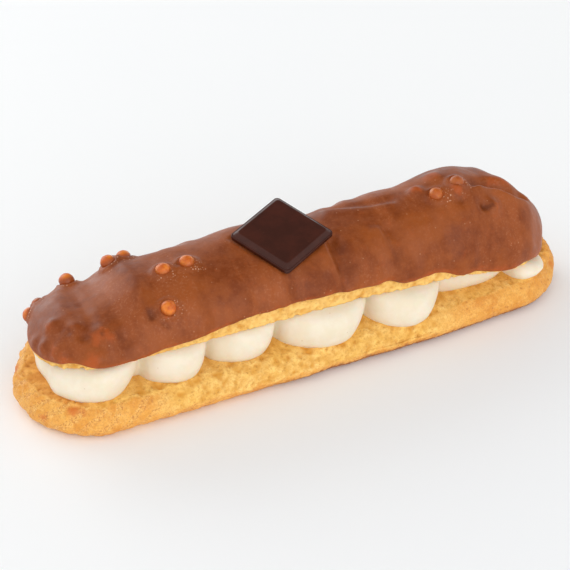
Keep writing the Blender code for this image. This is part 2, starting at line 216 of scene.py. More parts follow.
# The froth of the glaze lies in front of each bare pearl and to its right
FROTH_OFFSET = Vector((0.7, -1.3, 0.0)) * MM

# Kinds of relief, each as (size of its lumps, seed of its noise)
CRUST_SWELLS = (8.0 * MM, 3.0)
CRUST_GRAIN = (1.4 * MM, 15.0)
VALLEY_GRAIN = (0.7 * MM, 16.0)
BUBBLY_CRUST = (1.5 * MM, 17.0)
BUBBLY_CRUMB = (1.3 * MM, 18.0)
CRUMB_PATCHES = (6.0 * MM, 10.0)
CRUMB_LUMPS = (2.4 * MM, 9.0)
CRUMB_GRAIN = (1.0 * MM, 8.0)
RAGGED_EDGE = (3.0 * MM, 21.0)
RAGGED_BITS = (1.2 * MM, 22.0)
LID_LUMPS = (2.0 * MM, 19.0)
LID_GRAIN = (0.9 * MM, 18.0)
CREAM_SWELLS = (6.0 * MM, 31.0)
CREAM_RIPPLE = (1.8 * MM, 32.0)
DOME_SWELLS = (13.0 * MM, 9.0)
PEARL_DENTS = (1.5 * MM, 41.0)
PEARL_GRAIN = (0.6 * MM, 42.0)
LIP_WAVE = (4.0 * MM, 51.0)
LIP_RIPPLE = (1.5 * MM, 52.0)
THIN_PATCHES = (5.0 * MM, 53.0)
GLAZE_SWELLS = (6.0 * MM, 61.0)
GLAZE_RIPPLE = (2.5 * MM, 62.0)
GLAZE_DRAPES = (4.6 * MM, 63.0)

# Kinds of holes, each as (how far apart they lie, the widest as a share of that, seed)
BIG_HOLES = (2.9 * MM, 0.5, 4.0)
SMALL_HOLES = (1.5 * MM, 0.55, 11.0)
CRUST_PITS = (1.1 * MM, 0.6, 12.0)
LID_HOLES = (2.2 * MM, 0.55, 6.0)

# How round spots get an uneven edge, each as (size of the waves, how far they reach in mm)
BROWNED_EDGE = (1.4 * MM, 0.7)
STAIN_EDGE = (2.6 * MM, 1.5)

# The plaque lies across the crest, leaning to the front. The dome is pressed flat below it: how far
# round it, how steeply the dome rises outside, how many times its inset each skin lies lower, and
# how softly the bed joins the dome
PLAQUE_CENTRE = Vector((-5.4, -2.05, 32.6)) * MM
PLAQUE_TURN = Euler((radians(13.9), radians(-3.0), 0.0), "XYZ")
PLAQUE_SPIN = radians(25.0)
PLAQUE_BED_MARGIN = 0.2 * MM
PLAQUE_BED_SLOPE = 1.6
PLAQUE_BED_DEPTH = 1.15
PLAQUE_BED_SOFTNESS = 0.9 * MM

# Its ledge and bevel, as (step in, step up) in mm from the rim of the lower slab to the flat top
PLAQUE_STEPS = (
    (0.06, 0.1), (0.1, 0.05), (0.14, 0.0), (0.08, 0.08), (0.82, 0.8), (0.12, 0.08), (0.2, 0.03),
    (0.4, 0.0), (0.4, 0.0),
)
PLAQUE_SHARP_ANGLE = radians(40.0)

# The photograph's viewing angle
CAMERA_TURN = radians(-26.0)
CAMERA_LIFT = radians(34.0)
CAMERA_AIM = Vector((-3.6, 0.0, 15.6)) * MM
CAMERA_DISTANCE = 380.0 * MM
CAMERA_LENS = 95.0

# The lamps, as (place, side, power), the point that they face, and half of the floor's side
BACK_LIGHT = ((-0.35, 1.0, 0.4), 0.8, 3.7)
FRONT_FILL = ((0.0, -1.0, 0.4), 0.9, 3.0)
LAMP_AIM = Vector((0.0, 0.0, 0.02))
FLOOR_HALF = 3.0

# The sky is dimmer in one round patch, which keeps the top of the glaze from looking washed out: the
# way that the patch lies in, the cosines off that way where it starts and where it is dimmest, and
# the strength of the sky outside it and in it
SKY_COLOUR = (0.97, 0.985, 1.0, 1.0)
DIM_PATCH_WAY = (0.37, 0.28, 0.885)
DIM_PATCH_REACH = (0.72, 0.94)
SKY_STRENGTHS = (1.06, 0.25)


# Shapes


def smooth_line(stations, x):
    """Value at x, in metres, along (x in mm, value) stations, eased between each two."""
    x_mm = x / MM
    if x_mm <= stations[0][0]:
        return stations[0][1]
    for (x0, value0), (x1, value1) in zip(stations, stations[1:]):
        if x_mm <= x1:
            share = (x_mm - x0) / (x1 - x0)
            return value0 + (value1 - value0) * share * share * (3.0 - 2.0 * share)
    return stations[-1][1]


def height_at(stations, x):
    """Height at x, in metres, along stations whose values are in mm."""
    return smooth_line(stations, x) * MM


def relief(point, size, seed):
    """Smooth noise from -1 to 1 with lumps of about the given size."""
    return noise.noise(Vector(point) / size + Vector((seed, -seed, 0.5 * seed)))


def ease(value, low, high):
    """0 below low, 1 above high and a smooth step between; low may be the larger one."""
    share = max(0.0, min(1.0, (value - low) / (high - low)))
    return share * share * (3.0 - 2.0 * share)


def wander(point, size, reach):
    """The point, moved about by smooth noise."""
    return point + noise.noise_vector(point / size) * reach * MM


def ring_rise(away, height, middle, spread):
    """Height at a distance from a pearl of a soft ring, or of a mound where middle is 0."""
    return height * exp(-((away - middle) / spread) ** 2)


def hole_depth(point, size, widest, seed):
    """0 on the flat and up to 1 in the middle of a hole; holes lie about size apart."""
    place = Vector(point) / size + Vector((seed, seed, seed))
    distances, centres = noise.voronoi(place)
    width = widest * (0.3 + 0.7 * abs(noise.cell(centres[0] * 9.7)))
    return ease(distances[0], width, 0.35 * width)


class Spoke:
    """One direction out of the spine, the line that the rounded ends turn about."""

    def __init__(self, spine_x, angle):
        self.spine_x = spine_x
        self.out = Vector((cos(angle), sin(angle)))
        self.angle = angle

    def at(self, reach):
        return Vector((self.spine_x + reach * self.out.x, reach * self.out.y))

    @property
    def front(self):
        return self.out.y < 0.0


def spokes_round(length, width, count):
    """Spokes evenly spaced along an outline with straight sides and round ends."""
    radius = width / 2.0
    run = length - width
    quarter = pi * radius / 2.0
    total = 2.0 * run + 4.0 * quarter
    spokes = []
    for i in range(count):
        along = (i + 0.5) * total / count
        if along < quarter:
            spokes.append(Spoke(run / 2.0, along / radius))
        elif along < quarter + run:
            spokes.append(Spoke(run / 2.0 - (along - quarter), pi / 2.0))
        elif along < 3.0 * quarter + run:
            spokes.append(Spoke(-run / 2.0, (along - run) / radius))
        elif along < 3.0 * quarter + 2.0 * run:
            spokes.append(Spoke(along - 3.0 * quarter - 1.5 * run, 1.5 * pi))
        else:
            spokes.append(Spoke(run / 2.0, (along - 2.0 * run) / radius))
    return spokes


def next_ring(bm, ring):
    """Extrudes a closed ring of vertices and returns the new ring in the same order."""
    edges = [bm.edges.get((a, b)) for a, b in zip(ring, ring[1:] + ring[:1])]
    made = bmesh.ops.extrude_edge_only(bm, edges=edges)["geom"]
    new = {v for v in made if isinstance(v, bmesh.types.BMVert)}
    return [next(e.other_vert(v) for e in v.link_edges if e.other_vert(v) in new) for v in ring]


def loft(spokes, levels, place, marks=()):
    """Draws a closed skin over rings. Place gives each point and the values of its marks."""
    bm = bmesh.new()
    layers = [bm.verts.layers.float.new(mark) for mark in marks]
    ring = bmesh.ops.create_circle(bm, segments=len(spokes), radius=1.0)["verts"]
    for number, level in enumerate(levels):
        if number:
            ring = next_ring(bm, ring)
        for vertex, spoke in zip(ring, spokes):
            vertex.co, values = place(level, spoke)
            for layer, value in zip(layers, values):
                vertex[layer] = value
    bmesh.ops.remove_doubles(bm, verts=bm.verts, dist=0.01 * MM)
    bmesh.ops.recalc_face_normals(bm, faces=bm.faces)
    bm.normal_update()
    return bm


def raise_skin(bm, height):
    """Moves every vertex along its normal by height(vertex)."""
    moves = [(vertex, vertex.normal * height(vertex)) for vertex in bm.verts]
    for vertex, move in moves:
        vertex.co += move


def filled_profile(points, steps):
    """The points of a profile with more between each two, on a smooth curve through them all."""
    points = [Vector(point) for point in points]
    filled = []
    for number in range(len(points) - 1):
        before = points[max(0, number - 1)]
        start, end = points[number], points[number + 1]
        after = points[min(len(points) - 1, number + 2)]
        leave = start + (end - before) / 6.0
        arrive = end - (after - start) / 6.0
        filled += geometry.interpolate_bezier(start, leave, arrive, end, steps + 1)[:-1]
    return filled + [points[-1]]


def show(name, data):
    """Links a new object that shows the given mesh, lamp or camera."""
    obj = bpy.data.objects.new(name, data)
    bpy.context.scene.collection.objects.link(obj)
    return obj


def piece(name, bm, material, node):
    """Turns a bmesh into a shown piece that rides with the eclair and stands for a node."""
    mesh = bpy.data.meshes.new(name)
    bm.to_mesh(mesh)
    bm.free()
    mesh.shade_smooth()
    mesh.materials.append(material)
    obj = show(name, mesh)
    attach(obj, "root")
    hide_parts(node)
    return obj


def cut_height(x, y):
    """Height of the knife cut through the lower half: low at the rim, higher inside."""
    side = CUT_EDGE_FRONT if y < 0.0 else CUT_EDGE_BACK
    middle = height_at(CUT_MIDDLE, x)
    edge = height_at(side, x)
    share = min(1.0, abs(y) / (0.5 * BASE_WIDTH))
    return middle + (edge - middle) * share ** 3


def back_tuck(spoke):
    """1 round the right end's back, which falls off early, and 0 elsewhere."""
    return ease(spoke.out.x, 0.2, 0.8) * ease(spoke.out.y, -0.1, 0.5)


def browned(point):
    """1 in the middle of a browned spot of the crust and 0 outside."""
    bent = wander(point, *BROWNED_EDGE)
    return max(ease((bent / MM - Vector(spot[:3])).length / spot[3], 1.3, 0.3) for spot in BROWNED)


def crust_ridges(spoke):
    """Folds that run up the crust: strong at the left end, faint elsewhere."""
    strength = 0.25 + 0.75 * max(0.0, min(1.0, -spoke.spine_x / MM / 40.0 - 0.4))
    return strength * sin(9.0 * spoke.angle + 1.1 * sin(spoke.spine_x / (9.0 * MM)))


def crumb_share(x, y, z, reach, rim):
    """1 where the torn crumb of the lower half shows and 0 on its baked crust."""
    left, right = CRUMB_FRONT if y < 0.0 else CRUMB_BACK
    side = ease(x / MM, *left) * ease(x / MM, *right)
    ragged = relief((x, y, z), *RAGGED_EDGE) + 0.5 * relief((x, y, z), *RAGGED_BITS)
    wall = side * ease(z / MM + ragged, 2.8, 4.0)
    inside = ease(reach + 0.03 * ragged, 0.9, 0.85) * ease(z / rim, 0.75, 0.95)
    return max(wall, inside)


def left_folds(spoke, z):
    """Slanting folds of the crust round the left end, from 0 in a valley to 1 on a fold."""
    strength = ease(-spoke.spine_x / MM, 16.0, 44.0)
    along = spoke.angle * CRUST_END_RADIUS + spoke.spine_x / MM
    drift = 2.2 * noise.noise((along / 7.0, z / MM / 9.0, 5.0))
    slanted = along - CRUST_FOLD_SLANT * z / MM
    wave = sin(slanted * 2.0 * pi / CRUST_FOLD_SPACING + drift)
    size = 0.75 + 0.5 * noise.noise((along / 5.0, z / MM / 4.0, 8.0))
    return 0.5 + 0.5 * wave * strength * size


def make_base(material):
    """The lower half: a flat foot, a baked crust with folds and a torn, holey crumb."""
    radius = BASE_WIDTH / 2.0
    levels = [Vector((0.0, 0.0, 0.0)), Vector((0.45, 0.0, 0.0)), Vector((0.7, 0.0, 0.0))]
    levels += filled_profile(BASE_PROFILE, 5)
    levels += [Vector((0.36, 0.0, 1.0)), Vector((0.0, 0.0, 1.0))]

    def place(level, spoke):
        reach, foot, top = level
        flat = spoke.at(reach * radius)
        rim = cut_height(flat.x, flat.y)
        z = min(max(0.0, foot) * MM, 0.55 * rim) + top * rim
        outer = ease(reach, 0.66, 0.8) * ease(z / MM, 0.0, 0.8)
        swell = CRUST_LUMPS * relief((flat.x, flat.y, z), *CRUST_SWELLS)
        swell += CRUST_RIDGES * crust_ridges(spoke) * min(1.0, (1.06 - reach) * 6.0)
        end_pull = BASE_END_PULL * ease(-spoke.out.x, 0.5, 1.0)
        end_pull += BASE_TUCK_SHARE * END_TUCK * back_tuck(spoke)
        end_pull += BASE_END_LEAN * ease(spoke.out.x, 0.3, 0.9) * ease(top, 0.3, 1.0)
        flat = spoke.at(reach * (radius - end_pull) + swell * outer)
        if spoke.front:
            flat.y *= smooth_line(FRONT_TAPER, flat.x)
        crumb = crumb_share(flat.x, flat.y, z, reach, rim)
        fold = left_folds(spoke, z)
        return (flat.x, flat.y, z), (crumb, fold, outer, z / rim, 0.0, 0.0)

    marks = ("crumb", "fold", "outer", "height", "hollow", "browned")
    bm = loft(spokes_round(BASE_LENGTH, BASE_WIDTH, BASE_SPOKES), levels, place, marks)
    crumb, fold, outer, height, hollow, spot = [bm.verts.layers.float[mark] for mark in marks]

    def carve(vertex):
        point = vertex.co
        open_holes = 0.9 * hole_depth(point, *BIG_HOLES)
        open_holes = max(open_holes, 0.6 * hole_depth(point, *SMALL_HOLES))
        lumps = relief(point, *CRUMB_LUMPS) + 0.8 * relief(point, *CRUMB_GRAIN)
        # The hollow mark carries painted shade: the crumb's low places and holes get a darker colour
        vertex[hollow] = vertex[crumb] * max(0.0, min(1.0, 0.35 - 0.7 * lumps + 0.5 * open_holes))
        vertex[spot] = browned(point)
        baked = ease(abs(point.x) / MM, 52.0, 66.0)
        bubbly = baked * ease(vertex[height], 0.35, 0.8)
        pits = bubbly * hole_depth(point, *CRUST_PITS)
        crust = 0.3 * (vertex[fold] - 0.5) + 0.1 * relief(point, *CRUST_GRAIN)
        crust += (1.0 - vertex[fold]) * 0.24 * relief(point, *VALLEY_GRAIN)
        crust += bubbly * (0.3 * relief(point, *BUBBLY_CRUST) - 0.35 * open_holes) - 0.3 * pits
        uneven = 0.55 + 0.45 * ease(relief(point, *CRUMB_PATCHES), -0.35, 0.3)
        torn = uneven * (0.32 * lumps - 0.5 * open_holes)
        torn += bubbly * 0.36 * relief(point, *BUBBLY_CRUMB) - 0.4 * pits
        return MM * vertex[outer] * (crust + (torn - crust) * vertex[crumb])

    raise_skin(bm, carve)
    return piece("lower_choux", bm, material, "choux_base")


def lobe_reach(x, front, height):
    """How far the cream's piped lobes reach out from the spine at x; they narrow to the foot."""
    pinches = PINCHES_FRONT if front else PINCHES_BACK
    reaches = REACH_FRONT if front else REACH_BACK
    x += LOBE_SLANT * (1.0 - height)
    for left, right, reach in zip(pinches, pinches[1:], reaches):
        if x <= right * MM or right == pinches[-1]:
            half = 0.5 * (right - left) * MM
            off = (x - 0.5 * (left + right) * MM) / half
            narrowing = LOBE_NARROWING_RIGHT if off > 0.0 else LOBE_NARROWING_LEFT
            off *= 1.0 + narrowing * (1.0 - height) ** LOBE_NARROWING_POWER
            off = max(-1.0, min(1.0, off - LOBE_LEAN * (1.0 - off * off)))
            bulge = sqrt(1.0 - off * off)
            return PINCH_REACH + (reach * MM - PINCH_REACH) * bulge
    return reaches[-1] * MM


def lid_underside(x):
    """Height of the lid's cut underside at x."""
    return height_at(LID_UNDERSIDE, x)


def make_cream(material):
    """Cream piped in lobes along both sides, flattened between the two halves."""
    radius = CREAM_WIDTH / 2.0
    sides = [("side", height, share) for share, height in filled_profile(CREAM_PROFILE, 5)]
    levels = [("low", 0.0, 0.0), ("low", 0.0, 0.5)] + sides
    levels += [("high", 1.0, 0.5), ("high", 1.0, 0.0)]

    def place(level, spoke):
        kind, height, share = level
        if abs(spoke.out.x) < 0.02:
            level_reach = lobe_reach(spoke.spine_x, spoke.front, height)
        else:
            level_reach = lobe_reach(spoke.at(radius).x, spoke.front, height)
            level_reach += (radius - level_reach) * spoke.out.x ** 2
            right_pull = RIGHT_END_PULL * ease(spoke.out.x, 0.5, 1.0)
            level_reach -= END_PULL * (ease(-spoke.out.x, 0.8, 1.0) + right_pull)
        flat = spoke.at(share * level_reach)
        low = cut_height(flat.x, flat.y) - SINK_BELOW
        high = lid_underside(flat.x) + SINK_ABOVE
        z = low + (high - low) * max(0.0, min(1.0, height))
        if kind == "side":
            soft = 0.35 * relief((flat.x, flat.y, z), *CREAM_SWELLS)
            soft += 0.1 * relief((flat.x, 0.3 * flat.y, 0.4 * z), *CREAM_RIPPLE)
            flat = spoke.at(share * level_reach + soft * MM)
        return (flat.x, flat.y, z), ()

    bm = loft(spokes_round(CREAM_LENGTH, CREAM_WIDTH, CREAM_SPOKES), levels, place)
    return piece("piped_cream", bm, material, "vanilla_cream")


def fold_rise(x, y):
    """Height that the folds of the dome add at (x, y): gentle on the right of a ridge, steep left."""
    point = Vector((x / MM, y / MM))
    total = 0.0
    for line, ridge, valley in FOLDS:
        nearest = None
        run = 0.0
        for start, end in zip(line, line[1:]):
            start, end = Vector(start), Vector(end)
            way = end - start
            share = max(0.0, min(1.0, (point - start).dot(way) / way.length_squared))
            off = point - start - way * share
            if nearest is None or off.length < nearest[0]:
                nearest = (off.length, off.dot(way.orthogonal()) > 0.0, run + share * way.length)
            run += way.length
        away, on_left, along = nearest
        if away > FOLD_REACH:
            continue
        fade = ease(along, 0.0, FOLD_FADE) * ease(along, run, run - FOLD_FADE)
        spread = RIDGE_SPREAD_LEFT if on_left else RIDGE_SPREAD_RIGHT
        total += ridge * fade * exp(-(away / spread) ** 2)
        if on_left:
            hollow = exp(-((away - VALLEY_MIDDLE) / VALLEY_SPREAD) ** 2)
            total -= valley * fade * ease(away, 0.0, VALLEY_EDGE) * hollow
    return total * MM


def swells(x, y):
    """Height that the soft rises, hollows and folds of the dome add at (x, y)."""
    total = fold_rise(x, y)
    for centre_x, centre_y, spread, height in SWELLS:
        away = hypot(x / MM - centre_x, y / MM - centre_y) / spread
        if away < 3.0:
            total += height * MM * exp(-away * away)
    return total


def plaque_frame():
    """Turns a point of the plaque's own frame into the eclair's."""
    turn = PLAQUE_TURN.to_matrix() @ Euler((0.0, 0.0, PLAQUE_SPIN)).to_matrix()
    return Matrix.Translation(PLAQUE_CENTRE) @ turn.to_4x4()


OUT_OF_PLAQUE = plaque_frame()
INTO_PLAQUE = OUT_OF_PLAQUE.inverted()


def pressed(point, inset):
    """Pushes a point of the dome down to the bed of the plaque where it would rise above it."""
    local = INTO_PLAQUE @ point
    outside = max(abs(local.x), abs(local.y)) - PLAQUE_SIDE / 2.0
    bed = -PLAQUE_THICKNESS / 2.0 - GAP - PLAQUE_BED_DEPTH * inset
    bed += PLAQUE_BED_SLOPE * max(0.0, outside - PLAQUE_BED_MARGIN)
    near = max(0.0, 1.0 - abs(local.z - bed) / PLAQUE_BED_SOFTNESS)
    local.z = min(local.z, bed) - 0.25 * PLAQUE_BED_SOFTNESS * near * near
    return OUT_OF_PLAQUE @ local


def dome_radius(spoke, inset):
    """How far the lid reaches from its spine; its right end falls off early at the back."""
    return LID_WIDTH / 2.0 - inset - END_TUCK * back_tuck(spoke)


def dome_point(spoke, sweep, inset):
    """A point on the lid's dome. Sweep is 0 at the lower edge and 1 on the crest."""
    angle = sweep * pi / 2.0
    flat = spoke.at(dome_radius(spoke, inset) * max(0.0, cos(angle)) ** DOME_REACH_POWER)
    low = lid_underside(flat.x)
    high = height_at(LID_CREST, spoke.spine_x) - inset
    lift = (high - low) * sin(angle) ** DOME_RISE_POWER
    lumps = swells(flat.x, flat.y) + DOME_LUMPS * relief((flat.x, flat.y, 0.0), *DOME_SWELLS)
    lift += lumps * sin(angle)
    return pressed(Vector((flat.x, flat.y, low + lift)), inset)


def glaze_sweep(spoke):
    """How far up the dome the glaze's lower edge lies, from 0 to 1."""
    x = spoke.at(LID_WIDTH / 2.0).x
    front = height_at(GLAZE_EDGE_FRONT, x)
    back = height_at(GLAZE_EDGE_BACK, x)
    share = 0.5 - 0.5 * spoke.out.y
    edge = back + (front - back) * share * share * (3.0 - 2.0 * share)
    low = lid_underside(x)
    high = height_at(LID_CREST, spoke.spine_x)
    rise = max(0.02, (edge - low) / (high - low))
    return asin(min(0.9, rise) ** (1.0 / DOME_RISE_POWER)) / (pi / 2.0)


def make_lid(material):
    """The upper half, cut flat below, with its holey crumb showing under the glaze."""
    inset = GLAZE_THICKNESS + GAP
    levels = [("cut", 0.0), ("cut", 0.5), ("cut", 0.8)]
    levels += [("cut", 0.9 + 0.01 * step) for step in range(10)]
    levels += [("edge", 0.02 + 0.075 * step) for step in range(15)]
    levels += [("dome", share) for share in (0.12, 0.22, 0.36, 0.5, 0.64, 0.78, 0.9, 1.0)]

    def place(level, spoke):
        kind, share = level
        start = glaze_sweep(spoke)
        if kind == "cut":
            flat = spoke.at(share * dome_radius(spoke, inset))
            return (flat.x, flat.y, lid_underside(flat.x)), (float(share > SHOWN_CUT), 0.0)
        if kind == "edge":
            return dome_point(spoke, start * share, inset - CRUMB_PROUD), (1.0, 0.0)
        return dome_point(spoke, start + (1.0 - start) * share, inset), (0.0, 0.0)

    marks = ("shown", "hollow")
    bm = loft(spokes_round(LID_LENGTH, LID_WIDTH, LID_SPOKES), levels, place, marks)
    shown, hollow = [bm.verts.layers.float[mark] for mark in marks]

    def carve(vertex):
        point = vertex.co
        if not vertex[shown]:
            return 0.0
        open_holes = 0.8 * hole_depth(point, *LID_HOLES)
        lumps = relief(point, *LID_LUMPS) + 0.8 * relief(point, *LID_GRAIN)
        # The hollow mark carries painted shade: the crumb's low places and holes get a darker colour
        vertex[hollow] = max(0.0, min(1.0, 0.3 - 0.7 * lumps + 0.5 * open_holes))
        return MM * (0.26 * lumps - 0.45 * open_holes)

    raise_skin(bm, carve)
    return piece("upper_choux", bm, material, "choux_lid")


def dome_seat(x, y):
    """The point of the dome above (x, y) and the way that the surface faces there."""
    run = (LID_LENGTH - LID_WIDTH) / 2.0

    def over(along, across):
        spine_x = max(-run, min(run, along))
        reach = hypot(along - spine_x, across)
        spoke = Spoke(spine_x, atan2(across, along - spine_x) if reach else 0.0)
        share = min(0.985, reach / dome_radius(spoke, 0.0))
        return dome_point(spoke, acos(share ** (1.0 / DOME_REACH_POWER)) / (pi / 2.0), 0.0)

    seat = over(x, y)
    step = 1.0 * MM
    along = over(x + step, y) - over(x - step, y)
    across = over(x, y + step) - over(x, y - step)
    return seat, along.cross(across).normalized()


def make_pearls(material):
    """Crisp caramel pearls, each a little uneven and sunk into the glaze."""
    bm = bmesh.new()
    lit_crown = bm.verts.layers.float.new("lit_crown")
    film = bm.verts.layers.float.new("film")
    for x_mm, y_mm, rise, coat in PEARLS:
        seat, normal = dome_seat(x_mm * MM, y_mm * MM)
        centre = seat + normal * PEARL_RADIUS * rise
        ball = bmesh.ops.create_icosphere(bm, subdivisions=4, radius=PEARL_RADIUS)["verts"]
        for vertex in ball:
            out = vertex.co.normalized()
            # How far the point faces up off the dome, which sets the painted shade towards the foot
            vertex[lit_crown] = out.dot(normal)
            vertex[film] = coat
            vertex.co += centre
            dents = 0.1 * relief(vertex.co, *PEARL_DENTS) + 0.04 * relief(vertex.co, *PEARL_GRAIN)
            vertex.co += out * dents * MM
    return piece("crisp_pearls", bm, material, "milk_chocolate_glaze")


def make_glaze(material):
    """The milk chocolate skin: a rounded, wavy lower lip, soft swells and collars round pearls."""
    shares = [LIP + (1.0 - LIP) * step / GLAZE_ROWS for step in range(1, GLAZE_ROWS + 1)]
    levels = [("out", share) for share in reversed([*LIP_ROWS, *shares])]
    levels += [("in", share) for share in (0.0, 0.02, 0.06, 0.14, 0.3, 0.5, 0.7, 0.9, 1.0)]

    def place(level, spoke):
        kind, share = level
        edge = spoke.at(LID_WIDTH / 2.0)
        wave = 0.35 * relief((edge.x, edge.y, 0.0), *LIP_WAVE)
        wave += 0.16 * relief((edge.x, edge.y, 0.0), *LIP_RIPPLE)
        start = max(0.01, glaze_sweep(spoke) + wave * 0.035)
        sweep = start + (1.0 - start) * share
        if kind == "in":
            return dome_point(spoke, sweep, GLAZE_THICKNESS), (0.0, 0.0, 0.0, 0.0)
        lip = max(0.0, 1.0 - share / LIP)
        inset = 0.62 * GLAZE_THICKNESS * (1.0 - sqrt(max(0.0, 1.0 - lip ** 2.4)))
        thin = ease(share, 0.1, 0.0) * (0.65 + 0.7 * relief((edge.x, edge.y, 0.0), *THIN_PATCHES))
        return dome_point(spoke, sweep, inset), (thin, 0.0, ease(share, -0.04, 0.16), 0.0)

    marks = ("thin", "fizz", "outer", "hollow_shade")
    bm = loft(spokes_round(LID_LENGTH, LID_WIDTH, GLAZE_SPOKES), levels, place, marks)
    thin, fizz, outer, hollow_shade = [bm.verts.layers.float[mark] for mark in marks]
    bare, coated, hollows = (
        [(dome_seat(x * MM, y * MM)[0], *rest) for x, y, *rest in table]
        for table in (PEARLS, COATED_PEARLS, HOLLOWS)
    )

    def swell(vertex):
        if not vertex[outer]:
            return 0.0
        point = vertex.co.copy()
        rise = 0.14 * relief(point, *GLAZE_SWELLS) + 0.06 * relief(point, *GLAZE_RIPPLE)
        draped = (point.x, 0.25 * point.y, 0.25 * point.z)
        rise += relief(draped, *GLAZE_DRAPES) * ease(point.z / MM, 34.0, 25.0) * vertex[outer]
        bent = wander(point, *STAIN_EDGE)
        for seat, *_ in bare:
            away = (point - seat).length / MM
            if away < 8.0:
                rise += ring_rise(away, *PEARL_MOUND) + ring_rise(away, *PEARL_COLLAR)
                beside = (bent - seat - FROTH_OFFSET).length / MM
                vertex[fizz] = max(vertex[fizz], ease(beside, 3.8, 2.0))
                vertex[thin] = max(vertex[thin], 0.5 * ease(away, 2.8, 1.9))
        for seat, spread, height, stain in coated:
            away = (point - seat).length / MM / spread
            if away < 3.0:
                rise += height * exp(-away ** 2.4)
                away = (bent - seat).length / MM / spread
                vertex[thin] = max(vertex[thin], stain * ease(away, 1.2, 0.35))
        for seat, spread, depth in hollows:
            away = (point - seat).length / MM / spread
            if away < 3.0:
                rise -= depth * exp(-away * away)
                away = (bent - seat).length / MM / spread
                # Painted shade: each hollow is darkened as much as it is deep
                vertex[hollow_shade] = max(vertex[hollow_shade], depth * ease(away, 1.3, 0.3))
        return MM * rise

    raise_skin(bm, swell)
    return piece("glaze_coat", bm, material, "milk_chocolate_glaze")


def make_plaque(material):
    """A small moulded square of dark chocolate: a ledge below and a wide bevel round a flat top."""
    bm = bmesh.new()
    bmesh.ops.create_cube(bm, size=1.0)
    bmesh.ops.scale(bm, verts=bm.verts, vec=(PLAQUE_SIDE, PLAQUE_SIDE, PLAQUE_LEDGE))
    down = (PLAQUE_LEDGE - PLAQUE_THICKNESS) / 2.0
    bmesh.ops.translate(bm, verts=bm.verts, vec=(0.0, 0.0, down))
    upright = [e for e in bm.edges if abs(e.verts[0].co.z - e.verts[1].co.z) > 0.5 * PLAQUE_LEDGE]
    bmesh.ops.bevel(
        bm, geom=upright, offset=PLAQUE_CORNER, segments=6, profile=0.5, affect="EDGES", material=-1
    )
    top = max(bm.faces, key=lambda face: face.calc_center_median().z)
    for inward, upward in PLAQUE_STEPS:
        top = bmesh.ops.extrude_discrete_faces(bm, faces=[top])["faces"][0]
        half = max(vertex.co.x for vertex in top.verts)
        share = 1.0 - inward * MM / half
        bmesh.ops.scale(bm, verts=top.verts, vec=(share, share, 1.0))
        bmesh.ops.translate(bm, verts=top.verts, vec=(0.0, 0.0, upward * MM))
    bmesh.ops.transform(bm, verts=bm.verts, matrix=OUT_OF_PLAQUE)
    obj = piece("chocolate_plaque", bm, material, "dark_chocolate_plaque")
    obj.data.set_sharp_from_angle(angle=PLAQUE_SHARP_ANGLE)
    return obj


# Finishes


def paint(red, green, blue):
    """A colour given as a screen shows it, 0 to 255, as the shader wants it."""
    return (*[(c / 255.0 / 12.92) if c <= 10.3 else ((c / 255.0 + 0.055) / 1.055) ** 2.4
              for c in (red, green, blue)], 1.0)


class Mix:
    """Fills a node tree: add places a node, and the others return what their nodes put out."""

    def __init__(self, tree):
        self.tree = tree

    def add(self, kind, inputs=None, **settings):
        node = self.tree.nodes.new(kind)
        for key, value in settings.items():
            setattr(node, key, value)
        for key, value in (inputs or {}).items():
            if isinstance(value, bpy.types.NodeSocket):
                self.tree.links.new(value, node.inputs[key])
            else:
                node.inputs[key].default_value = value
        return node

    def math(self, operation, first, second, third=0.0):
        inputs = {0: first, 1: second, 2: third}
        return self.add("ShaderNodeMath", inputs, operation=operation).outputs[0]

    def times(self, first, second):
        return self.math("MULTIPLY", first, second)

    def step(self, value, low, high, least=0.0, most=1.0):
        inputs = {"Value": value, "From Min": low, "From Max": high, "To Min": least, "To Max": most}
        return self.add("ShaderNodeMapRange", inputs, interpolation_type="SMOOTHSTEP").outputs[0]

    def blend(self, share, first, second):
        return self.add("ShaderNodeMix", {0: share, 6: first, 7: second}, data_type="RGBA").outputs[2]

    def tint(self, colour, mask, strength, shade):
        """The colour with a shade laid over it where the mask lies, at the given strength."""
        return self.blend(self.times(mask, strength), colour, shade)

    def noise(self, vector, scale, detail, roughness):
        inputs = {"Vector": vector, "Scale": scale, "Detail": detail, "Roughness": roughness}
        return self.add("ShaderNodeTexNoise", inputs).outputs[0]

    def mark(self, name):
        return self.add("ShaderNodeAttribute", attribute_name=name).outputs["Fac"]

    def group(self, tree, vector, **numbers):
        return self.add("ShaderNodeGroup", {"Vector": vector, **numbers}, node_tree=tree).outputs[0]

    def bump(self, height, strength, distance):
        inputs = {"Height": height, "Strength": strength, "Distance": distance}
        return self.add("ShaderNodeBump", inputs).outputs[0]


def new_group(name, output, *inputs):
    """An empty shader node group that reads a Vector and some numbers, and its two ends."""
    group = bpy.data.node_groups.new(name, "ShaderNodeTree")
    group.interface.new_socket("Vector", in_out="INPUT", socket_type="NodeSocketVector")
    for label in inputs:
        group.interface.new_socket(label, in_out="INPUT", socket_type="NodeSocketFloat")
    group.interface.new_socket(output, in_out="OUTPUT", socket_type="NodeSocketFloat")
    mix = Mix(group)
    return group, mix, mix.add("NodeGroupInput").outputs, mix.add("NodeGroupOutput")


